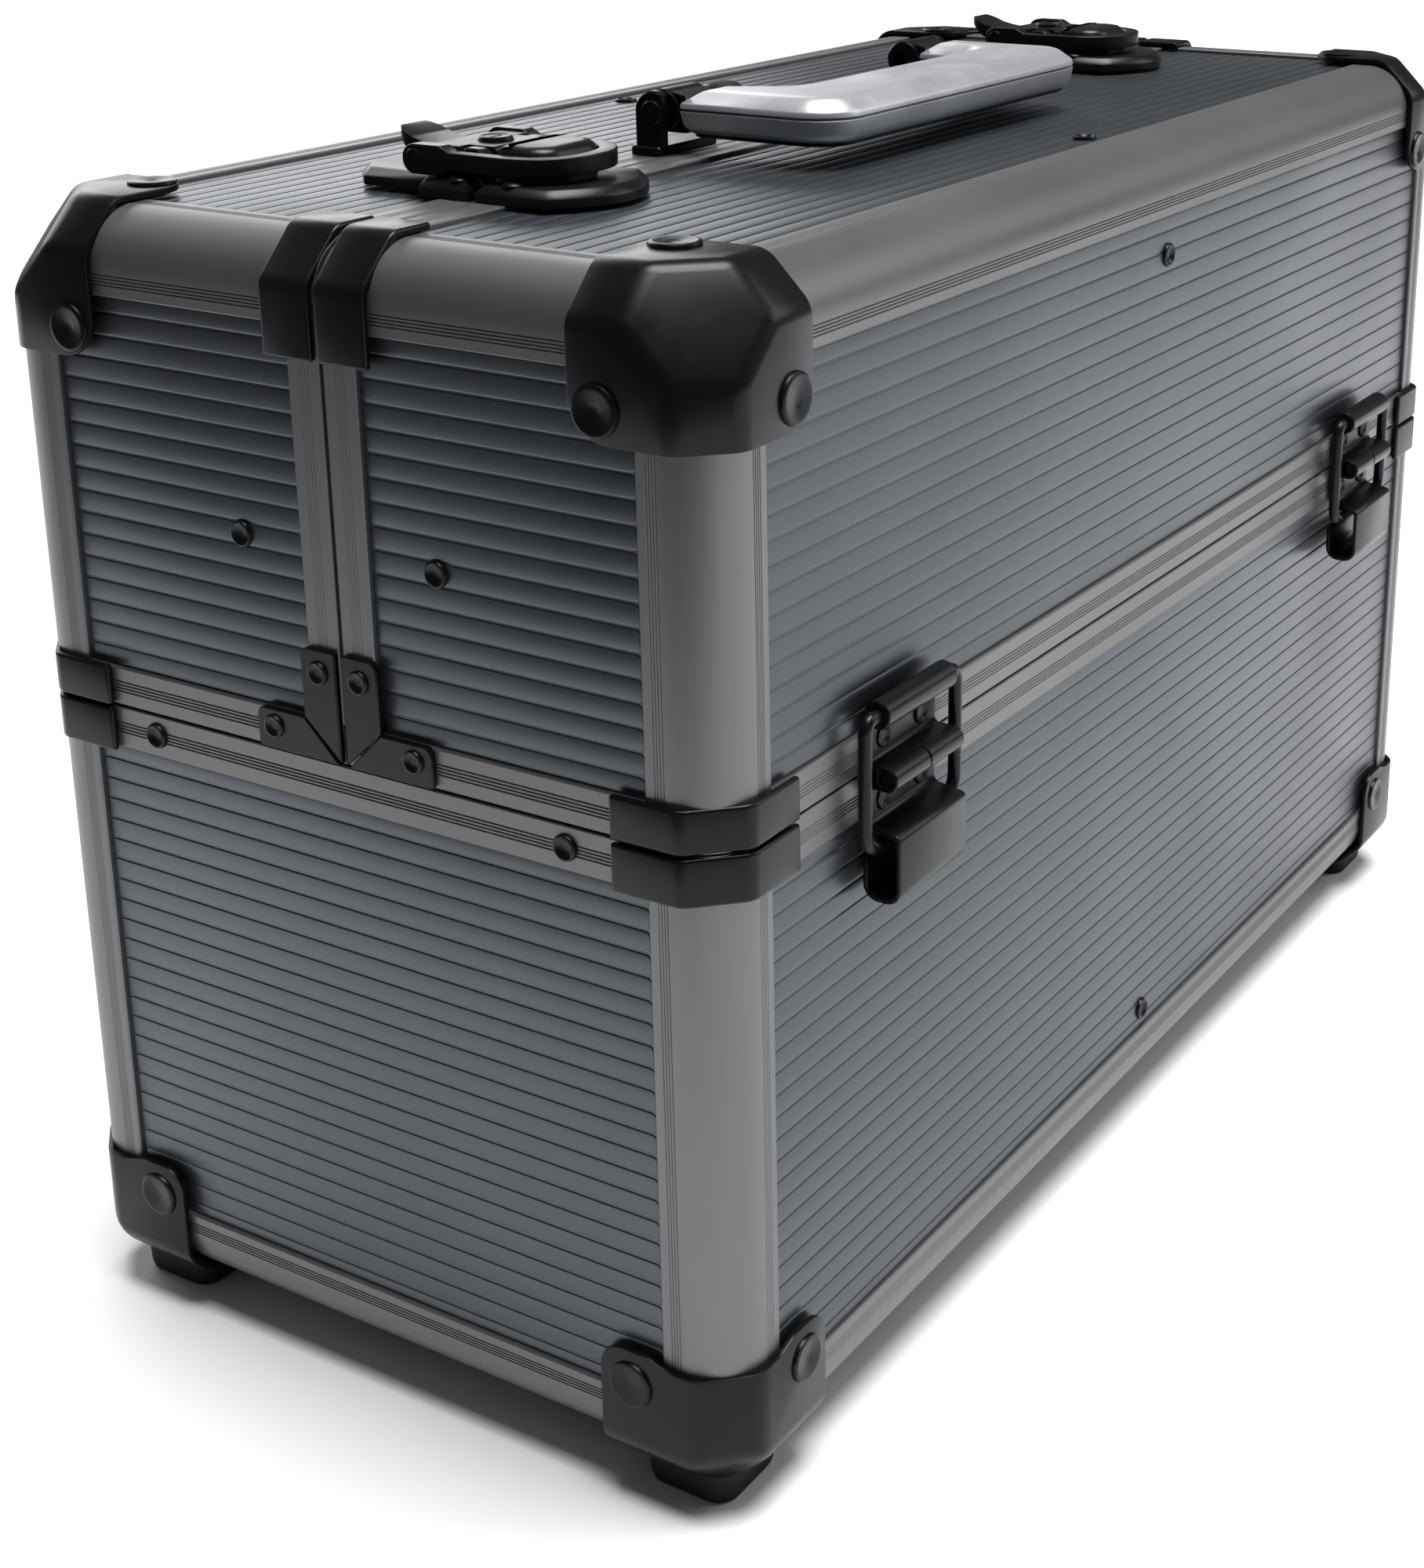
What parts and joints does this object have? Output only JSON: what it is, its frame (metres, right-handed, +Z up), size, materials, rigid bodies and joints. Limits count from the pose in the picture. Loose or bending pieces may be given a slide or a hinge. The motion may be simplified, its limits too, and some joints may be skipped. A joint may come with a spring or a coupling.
{
  "type": "art supply case",
  "caption": "Framed rectangular case with a lid split along its length, a levelled tray linked to each lid half, draw latches and a fold-down handle.",
  "frame": {"origin": "middle of the footprint, on the ground under the feet", "axes": "+X along the box to its right end, -Y towards its front, +Z up"},
  "size_m": [0.3956, 0.2048, 0.278],
  "materials": {
    "ribbed_panel": "finely ribbed satin sheet",
    "aluminium_edge": "warm grey satin anodised",
    "black_moulding": "semi-gloss black",
    "rubber": "matt black",
    "blackened_steel": "gloss black lacquer on stamped steel",
    "bright_steel": "plain cut strip",
    "silver_grip": "satin silver",
    "tray_plastic": "fine matt black"
  },
  "bodies": {
    "base": {"base_shell": "ribbed_panel", "base_frame": "aluminium_edge", "bottom_cap_front_left": "black_moulding", "base_rim_corner_front_left": "black_moulding", "foot_front_left": "rubber", "hinge_lower_leaf_front_left": "blackened_steel", "bottom_cap_back_left": "black_moulding", "base_rim_corner_back_left": "black_moulding", "foot_back_left": "rubber", "hinge_lower_leaf_back_left": "blackened_steel", "bottom_cap_front_right": "black_moulding", "base_rim_corner_front_right": "black_moulding", "foot_front_right": "rubber", "hinge_lower_leaf_front_right": "blackened_steel", "bottom_cap_back_right": "black_moulding", "base_rim_corner_back_right": "black_moulding", "foot_back_right": "rubber", "hinge_lower_leaf_back_right": "blackened_steel"},
    "lid_front": {"lid_shell_front": "ribbed_panel", "lid_frame_front": "aluminium_edge", "top_cap_front_left": "black_moulding", "lid_rim_corner_front_left": "black_moulding", "hinge_upper_leaf_front_left": "blackened_steel", "top_cap_front_right": "black_moulding", "lid_rim_corner_front_right": "black_moulding", "hinge_upper_leaf_front_right": "blackened_steel", "latch_strike_left": "blackened_steel", "latch_strike_right": "blackened_steel"},
    "lid_back": {"lid_shell_back": "ribbed_panel", "lid_frame_back": "aluminium_edge", "top_cap_back_left": "black_moulding", "lid_rim_corner_back_left": "black_moulding", "hinge_upper_leaf_back_left": "blackened_steel", "top_cap_back_right": "black_moulding", "lid_rim_corner_back_right": "black_moulding", "hinge_upper_leaf_back_right": "blackened_steel", "latch_plate_left": "blackened_steel", "latch_plate_right": "blackened_steel", "handle_bracket_left": "black_moulding", "handle_bracket_right": "black_moulding", "handle_bumper": "rubber"},
    "front_tray": {"tray_front": "tray_plastic"},
    "front_tray_arms": {"tray_arm_front_left": "bright_steel", "tray_arm_front_right": "bright_steel"},
    "front_stay_bails": {"stay_bail_front_left": "blackened_steel", "stay_bail_front_right": "blackened_steel"},
    "back_tray": {"tray_back": "tray_plastic"},
    "back_tray_arms": {"tray_arm_back_left": "bright_steel", "tray_arm_back_right": "bright_steel"},
    "back_stay_bails": {"stay_bail_back_left": "blackened_steel", "stay_bail_back_right": "blackened_steel"},
    "left_latch_lever": {"latch_lever_left": "blackened_steel"},
    "left_latch_loop": {"latch_loop_left": "blackened_steel"},
    "left_key_plug": {"latch_key_plug_left": "blackened_steel"},
    "right_latch_lever": {"latch_lever_right": "blackened_steel"},
    "right_latch_loop": {"latch_loop_right": "blackened_steel"},
    "right_key_plug": {"latch_key_plug_right": "blackened_steel"},
    "handle": {"handle_lower": "silver_grip", "handle_upper": "silver_grip"}
  },
  "joints": [
    {"name": "lid_back_hinge", "type": "hinge", "parent": "base", "child": "lid_back", "pos_m": [0, 0.099, 0.1532], "axis": [-1, 0, 0], "range_deg": [0, 95]},
    {"name": "back_tray_hinge", "type": "hinge", "parent": "lid_back", "child": "back_tray", "pos_m": [0, 0.05672, 0.1799], "axis": [1, 0, 0], "range_deg": [0, 95]},
    {"name": "back_arms_hinge", "type": "hinge", "parent": "base", "child": "back_tray_arms", "pos_m": [0, 0.056, 0.1485], "axis": [-1, 0, 0], "range_deg": [0, 95]},
    {"name": "back_bails_hinge", "type": "hinge", "parent": "lid_back", "child": "back_stay_bails", "pos_m": [0, 0.0968, 0.167], "axis": [1, 0, 0], "range_deg": [0, 61.3]},
    {"name": "lid_front_hinge", "type": "hinge", "parent": "base", "child": "lid_front", "pos_m": [0, -0.099, 0.1532], "axis": [1, 0, 0], "range_deg": [0, 95]},
    {"name": "front_tray_hinge", "type": "hinge", "parent": "lid_front", "child": "front_tray", "pos_m": [0, -0.05672, 0.1799], "axis": [-1, 0, 0], "range_deg": [0, 95]},
    {"name": "front_arms_hinge", "type": "hinge", "parent": "base", "child": "front_tray_arms", "pos_m": [0, -0.056, 0.1485], "axis": [1, 0, 0], "range_deg": [0, 95]},
    {"name": "front_bails_hinge", "type": "hinge", "parent": "lid_front", "child": "front_stay_bails", "pos_m": [0, -0.0968, 0.167], "axis": [-1, 0, 0], "range_deg": [0, 61.3]},
    {"name": "left_lever_hinge", "type": "hinge", "parent": "lid_back", "child": "left_latch_lever", "pos_m": [-0.13, 0.004, 0.2706], "axis": [1, 0, 0], "range_deg": [0, 105]},
    {"name": "left_loop_hinge", "type": "hinge", "parent": "left_latch_lever", "child": "left_latch_loop", "pos_m": [-0.13, 0.017, 0.2705], "axis": [-1, 0, 0], "range_deg": [0, 105]},
    {"name": "left_key_turn", "type": "hinge", "parent": "left_latch_lever", "child": "left_key_plug", "pos_m": [-0.13, 0.0075, 0.274], "axis": [0, 0, 1], "range_deg": [0, 90]},
    {"name": "right_lever_hinge", "type": "hinge", "parent": "lid_back", "child": "right_latch_lever", "pos_m": [0.13, 0.004, 0.2706], "axis": [1, 0, 0], "range_deg": [0, 105]},
    {"name": "right_loop_hinge", "type": "hinge", "parent": "right_latch_lever", "child": "right_latch_loop", "pos_m": [0.13, 0.017, 0.2705], "axis": [-1, 0, 0], "range_deg": [0, 105]},
    {"name": "right_key_turn", "type": "hinge", "parent": "right_latch_lever", "child": "right_key_plug", "pos_m": [0.13, 0.0075, 0.274], "axis": [0, 0, 1], "range_deg": [0, 90]},
    {"name": "handle_hinge", "type": "hinge", "parent": "lid_back", "child": "handle", "pos_m": [-0.012, 0.0035, 0.273], "axis": [-1, 0, 0], "range_deg": [0, 180]}
  ],
  "couplings": [
    {"joint": "back_tray_hinge", "follows": "lid_back_hinge", "ratio": 1},
    {"joint": "back_arms_hinge", "follows": "lid_back_hinge", "ratio": 1},
    {"joint": "back_bails_hinge", "follows": "lid_back_hinge", "ratio": 0.645},
    {"joint": "lid_front_hinge", "follows": "lid_back_hinge", "ratio": 1},
    {"joint": "front_tray_hinge", "follows": "lid_back_hinge", "ratio": 1},
    {"joint": "front_arms_hinge", "follows": "lid_back_hinge", "ratio": 1},
    {"joint": "front_bails_hinge", "follows": "lid_back_hinge", "ratio": 0.645},
    {"joint": "left_loop_hinge", "follows": "left_lever_hinge", "ratio": 1},
    {"joint": "right_loop_hinge", "follows": "right_lever_hinge", "ratio": 1}
  ]
}
